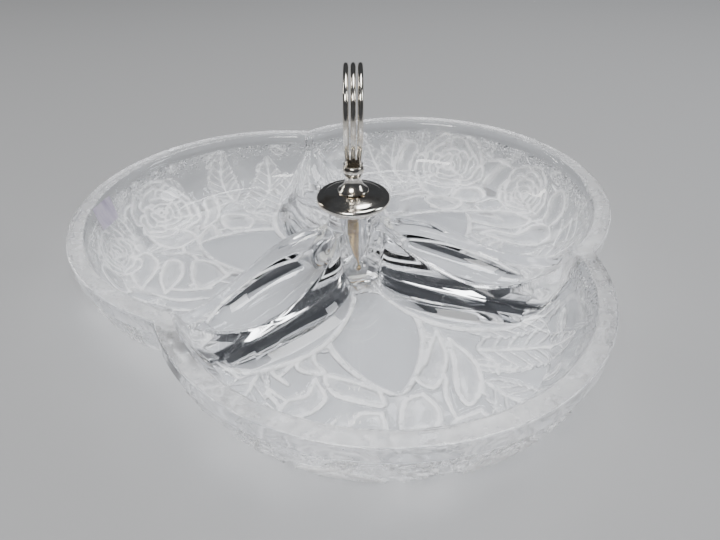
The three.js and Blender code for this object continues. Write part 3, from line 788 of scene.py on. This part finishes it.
def silver_material():
    nodes = Nodes("silver_plate")
    worn = nodes.noise(90.0, 6.0)
    colour = nodes.ramp(worn, [(0.25, (0.50, 0.42, 0.32)), (0.45, (0.76, 0.72, 0.65)),
                               (0.75, (0.86, 0.83, 0.78))])
    smears = nodes.noise(40.0, 3.0, nodes.stretched((1, 1, 7)))
    roughness = nodes.spread(smears, 0.07, 0.24, 0.3, 0.75)
    scratches = nodes.noise(700.0, 2.0, nodes.stretched((1, 1, 0.08)))
    nodes.principled(Base_Color=colour, Metallic=1.0, Roughness=roughness,
                     Normal=nodes.bump(scratches, 0.12, 0.00004))
    return nodes.material


def brass_material():
    nodes = Nodes("tarnished_brass")
    stain = nodes.noise(220.0, 6.0)
    colour = nodes.ramp(stain, [(0.3, (0.22, 0.12, 0.045)), (0.5, (0.60, 0.40, 0.15)),
                                (0.75, (0.80, 0.60, 0.28))])
    nodes.principled(Base_Color=colour, Metallic=1.0, Roughness=nodes.spread(stain, 0.45, 0.2, 0.3, 0.7),
                     Normal=nodes.bump(nodes.noise(1500.0), 0.15, 0.00005))
    return nodes.material


def steel_material():
    nodes = Nodes("zinc_plated_steel")
    grain = nodes.noise(500.0, 5.0)
    colour = nodes.ramp(grain, [(0.3, (0.48, 0.48, 0.47)), (0.7, (0.72, 0.72, 0.70))])
    nodes.principled(Base_Color=colour, Metallic=1.0, Roughness=nodes.spread(grain, 0.28, 0.5),
                     Normal=nodes.bump(grain, 0.1, 0.00005))
    return nodes.material


def vinyl_material():
    nodes = Nodes("soft_vinyl")
    cloud = nodes.noise(120.0, 4.0)
    colour = nodes.ramp(cloud, [(0.3, (0.60, 0.60, 0.55)), (0.7, (0.80, 0.79, 0.74))])
    nodes.principled(Base_Color=colour, Roughness=nodes.spread(cloud, 0.35, 0.55),
                     Normal=nodes.bump(nodes.noise(900.0), 0.2, 0.00006))
    return nodes.material


def label_material():
    nodes = Nodes("blank_foil_label")
    streak = nodes.noise(45.0, 3.0, nodes.stretched((1, 4, 1)))
    colour = nodes.ramp(streak, [(0.3, (0.40, 0.34, 0.50)), (0.55, (0.68, 0.63, 0.76)),
                                 (0.8, (0.50, 0.50, 0.47))])
    nodes.principled(Base_Color=colour, Metallic=0.2, Roughness=nodes.spread(streak, 0.22, 0.5),
                     Normal=nodes.bump(nodes.noise(160.0), 0.25, 0.0003))
    return nodes.material


def floor_material():
    nodes = Nodes("pale_floor")
    nodes.principled(Base_Color=(0.44, 0.445, 0.455, 1), Roughness=0.7)
    return nodes.material


# ---------- metal fittings ----------

def span(node):
    """Bottom and top of a CAD node, in millimetres."""
    low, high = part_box(node)
    return low[2] / MM, high[2] / MM


def widest(node):
    """Outside radius of a round CAD node, in millimetres."""
    low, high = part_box(node)
    return (high[0] - low[0]) / 2 / MM


def washer(name, node, hole, body, slot, finish, edge=0.25):
    bottom, top = span(node)
    outer = widest(node)
    profile = [
        (hole, bottom + edge), (hole + edge, bottom), (outer - edge, bottom), (outer, bottom + edge),
        (outer, top - edge), (outer - edge, top), (hole + edge, top), (hole, top - edge),
    ]
    made = piece(name, *turned(profile), body, slot, node)
    made.data.materials.append(finish)
    return made


def cap_disc(finish):
    bottom, top = span("cap_disc")
    outer = widest("cap_disc")
    roll, sheet, hole = 1.95, 1.1, 3.3
    roll_middle = (outer - roll, bottom + roll)
    crown = top - roll_middle[1] - roll
    profile = [(hole, bottom), (9.0, bottom), (9.0, top - 1.6 * sheet), (13.5, top - crown * 0.55 - sheet)]
    profile += arc(roll_middle, roll, 165, 450, 30)
    for share in np.linspace(0.93, 0.08, 16):
        radius = hole + (roll_middle[0] - hole) * share
        rise = top - crown * share ** 2
        groove = 0.35 * math.exp(-(((radius - roll_middle[0] + 1.6) / 0.5) ** 2))
        profile.append((radius, rise - groove))
    profile.append((hole, top))
    made = piece("domed_cap", *turned(profile), "cap", "silver_plate", "cap_disc")
    made.data.materials.append(finish)


def handle_neck(finish):
    bottom, top = span("handle_neck")
    foot, waist, hole, depth = 8.2, 3.9, 3.3, 5.3
    profile = [(0.01, bottom + depth), (hole, bottom + depth), (hole, bottom + 0.1), (foot - 0.3, bottom)]
    for share in np.linspace(0.02, 1, 26):
        flare = (foot - waist) * (1 - share) ** 2.6
        profile.append((waist + flare, bottom + (top - bottom) * share))
    profile += [(waist - 0.4, top), (0.01, top)]
    made = piece("flared_neck", *turned(profile), "handle", "silver_plate", "handle_neck")
    made.data.materials.append(finish)


def bead_collar(finish):
    """A bead with soft flutes, as if drawn round the wires it holds."""
    bottom, top = span("bead_collar")
    outer = widest("bead_collar")
    middle, half = (bottom + top) / 2, (top - bottom) / 2
    socket, socket_z = outer - 0.85, top - 2.9
    profile = [(0.01, bottom), (outer * 0.55, bottom)]
    lowest = math.radians(62)
    for turn in np.radians(np.linspace(-62, 50, 22)):
        profile.append((outer * math.cos(turn) ** 0.65, middle + half * math.sin(turn) / math.sin(lowest)))
    profile += [(socket + 0.25, top), (socket, top - 0.2), (socket, socket_z), (0.01, socket_z)]

    def flutes(radius, height, angles):
        depth = 0.32 * np.exp(-(((height - middle) / (half * 0.7)) ** 2)) * (radius > socket + 0.3)
        return -depth * (0.5 + 0.5 * np.cos(6 * angles)) ** 2

    made = piece("bead_ferrule", *turned(profile, 144, flutes), "handle", "silver_plate", "bead_collar")
    made.data.materials.append(finish)


def threaded_stud(finish):
    """A brass stud with a real helical thread."""
    bottom, top = span("threaded_stud")
    outer, pitch, thread = widest("threaded_stud"), 1.0, 0.42
    columns, per_turn = 48, 8
    rows = int((top - bottom - 1.2) / pitch * per_turn)
    angles = np.arange(columns) * 2 * math.pi / columns
    heights = np.linspace(bottom + 0.6, top - 0.6, rows)[:, None]
    phase = heights / pitch - angles[None, :] / (2 * math.pi)
    ends = smooth_step(0, 1.5, heights - bottom - 0.6) * smooth_step(0, 1.5, top - 0.6 - heights)
    radius = outer - thread + thread * np.abs(2 * np.mod(phase, 1) - 1) * ends
    heights = np.repeat(heights, columns, 1)
    cap_rows = [(0.02, bottom), (outer - 0.9, bottom), (outer - thread, bottom + 0.5)]
    end_rows = [(outer - thread, top - 0.5), (outer - 0.9, top), (0.02, top)]

    def rings(pairs):
        return [np.repeat(values, columns, 1) for values in np.array(pairs).T[:, :, None]]

    (low_radius, low_z), (high_radius, high_z) = rings(cap_rows), rings(end_rows)
    radius = np.concatenate([low_radius, radius, high_radius])
    heights = np.concatenate([low_z, heights, high_z])
    points = np.stack([
        HUB_AXIS[0] + radius * np.cos(angles),
        HUB_AXIS[1] + radius * np.sin(angles),
        heights,
    ], -1)
    made = piece("brass_stud", points.reshape(-1, 3), torus_faces(len(radius), columns),
                 "handle", "brass", "threaded_stud")
    made.data.materials.append(finish)


def fluted_nut(finish):
    bottom, top = span("fluted_nut")
    outer, hole, edge = widest("fluted_nut"), 3.3, 0.5
    profile = [
        (hole, bottom + edge), (hole + edge, bottom), (outer - 1.2, bottom), (outer - 0.3, bottom + 0.8),
        (outer, bottom + 1.4), (outer, top - 1.4), (outer - 0.3, top - 0.8), (outer - 1.2, top),
        (hole + edge, top), (hole, top - edge),
    ]

    def flutes(radius, height, angles):
        return -0.55 * (0.5 + 0.5 * np.cos(20 * angles)) * (radius > outer - 0.5)

    made = piece("brass_nut", *turned(profile, 240, flutes), "dish", "brass", "fluted_nut")
    made.data.materials.append(finish)


def wire_loops(finish):
    """Three wires side by side, each bent to the same pear-shaped loop."""
    leg_gap, half_width, height, turn = 1.45, 21.0, 51.0, math.radians(-14.6)
    leg_pitch, pitch, thickness = 2.8, 3.4, 2.46
    start = span("loop_wire_middle")[0] + 0.02
    shape = [(leg_gap / half_width, 0), (leg_gap / half_width + 0.04, 0.09), (0.42, 0.24), (0.85, 0.44),
             (1, 0.63), (0.84, 0.83), (0.45, 0.96)]
    path = [(-x, z) for x, z in shape] + [(0.0, 1.0)] + [(x, z) for x, z in reversed(shape)]
    path = catmull(np.array(path), 14)
    for name, node, place in (("left_wire", "loop_wire_left", -1), ("middle_wire", "loop_wire_middle", 0),
                              ("right_wire", "loop_wire_right", 1)):
        side = place * (leg_pitch + (pitch - leg_pitch) * np.minimum(1, path[:, 1] * 3))
        local = np.stack([side, path[:, 0] * half_width, start + path[:, 1] * height], -1)
        points = np.stack([
            HUB_AXIS[0] + local[:, 0] * math.cos(turn) - local[:, 1] * math.sin(turn),
            HUB_AXIS[1] + local[:, 0] * math.sin(turn) + local[:, 1] * math.cos(turn),
            local[:, 2],
        ], -1)
        across = np.array([math.cos(turn), math.sin(turn), 0.0])
        made = piece(name, *tube(points, across, thickness / 2), "handle", "silver_plate", node)
        made.data.materials.append(finish)


def tube(points, across, radius, sides=20):
    """Vertices and quads of a round wire with rounded ends. across is square to the wire all along."""
    tangent = np.gradient(points, axis=0)
    tangent /= np.linalg.norm(tangent, axis=1, keepdims=True)
    over = np.cross(tangent, across)
    over /= np.linalg.norm(over, axis=1, keepdims=True)
    beside = np.cross(over, tangent)
    stations = [(0, 0.02), (0, 0.7)] + [(k, 1.0) for k in range(len(points))]
    stations += [(len(points) - 1, 0.7), (len(points) - 1, 0.02)]
    angles = np.arange(sides) * 2 * math.pi / sides
    cosine, sine = np.cos(angles)[:, None], np.sin(angles)[:, None]
    rings = [points[k] + size * radius * (cosine * beside[k] + sine * over[k]) for k, size in stations]
    return np.concatenate(rings), torus_faces(len(rings), sides)


def blank_label(finish):
    """The CAD label stays; it gets a finish of its own."""
    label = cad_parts["blank_label"]
    if not label.material_slots:
        label.data.materials.append(finish)
    label.material_slots[0].material = finish


# ---------- stage ----------

def add_floor():
    half = 4.0
    mesh = bpy.data.meshes.new("floor")
    corners = [(-half, -half, 0), (half, -half, 0), (half, half, 0), (-half, half, 0)]
    mesh.from_pydata(corners, [], [(0, 1, 2, 3)])
    floor = bpy.data.objects.new("floor", mesh)
    bpy.context.scene.collection.objects.link(floor)
    floor.location.z = -0.0003
    mesh.materials.append(floor_material())


def soft_box(name, place, aim, size, power, colour=(1, 1, 1)):
    light = bpy.data.lights.new(name, "AREA")
    light.shape = "RECTANGLE"
    light.size, light.size_y = size
    light.energy = power
    light.color = colour
    lamp = bpy.data.objects.new(name, light)
    lamp.location = place
    lamp.rotation_euler = (Vector(aim) - Vector(place)).to_track_quat("-Z", "Y").to_euler()
    bpy.context.scene.collection.objects.link(lamp)


def add_lights():
    aim = (0, 0, 0.02)
    soft_box("key_softbox", (-0.55, -0.75, 1.15), aim, (0.55, 0.4), 13, (1.0, 0.985, 0.96))
    soft_box("top_softbox", (0.35, 0.2, 1.3), aim, (0.6, 0.6), 11)
    soft_box("side_softbox", (1.2, -0.35, 0.7), aim, (0.3, 0.6), 5, (0.95, 0.97, 1.0))
    soft_box("edge_strip", (-0.9, 0.85, 0.55), aim, (0.06, 0.7), 2.2, (1.0, 0.97, 0.92))
    world = bpy.data.worlds.new("studio")
    bpy.context.scene.world = world
    world.use_nodes = True
    background = world.node_tree.nodes["Background"]
    background.inputs["Color"].default_value = (0.80, 0.85, 0.95, 1)
    background.inputs["Strength"].default_value = 0.07


def add_camera():
    """The photo's viewing angle: where the eye is, seen from the hub at rim height, then small turns."""
    azimuth, elevation, distance = math.radians(-14.64), math.radians(30.68), 0.34653
    pan, tilt, roll = math.radians(2.154), math.radians(-4.801), math.radians(0.252)
    back = Vector((math.sin(azimuth) * math.cos(elevation), -math.cos(azimuth) * math.cos(elevation),
                   math.sin(elevation)))
    target = Vector((HUB_AXIS[0] * MM, HUB_AXIS[1] * MM, RIM_Z * MM))
    ahead = -back
    right = ahead.cross(Vector((0, 0, 1))).normalized()
    up = right.cross(ahead)
    turn = Matrix.Rotation(pan, 3, up)
    ahead, right = turn @ ahead, turn @ right
    turn = Matrix.Rotation(tilt, 3, right)
    ahead, up = turn @ ahead, turn @ up
    turn = Matrix.Rotation(roll, 3, ahead)
    right, up = turn @ right, turn @ up
    data = bpy.data.cameras.new("camera")
    data.sensor_width = 36.0
    data.lens = 32.763
    data.shift_x, data.shift_y = 0.0434, 0.0054
    data.clip_start = 0.01
    camera = bpy.data.objects.new("camera", data)
    pose = Matrix((right, up, -ahead)).transposed().to_4x4()
    pose.translation = target + back * distance
    camera.matrix_world = pose
    bpy.context.scene.collection.objects.link(camera)
    bpy.context.scene.camera = camera


# ---------- build ----------

add_camera()
add_floor()
add_lights()
silver, brass, steel, vinyl = silver_material(), brass_material(), steel_material(), vinyl_material()
build_glass().data.materials.append(glass_material())
washer("seal_above_hub", "upper_gasket", 4.3, "dish", "clear_vinyl", vinyl)
washer("seal_below_hub", "lower_gasket", 4.3, "dish", "clear_vinyl", vinyl)
washer("nut_washer", "lower_washer", 3.3, "dish", "steel", steel, 0.15)
washer("cap_base_ring", "cap_backing_plate", 3.3, "cap", "silver_plate", silver, 0.4)
fluted_nut(brass)
threaded_stud(brass)
cap_disc(silver)
handle_neck(silver)
bead_collar(silver)
wire_loops(silver)
blank_label(label_material())
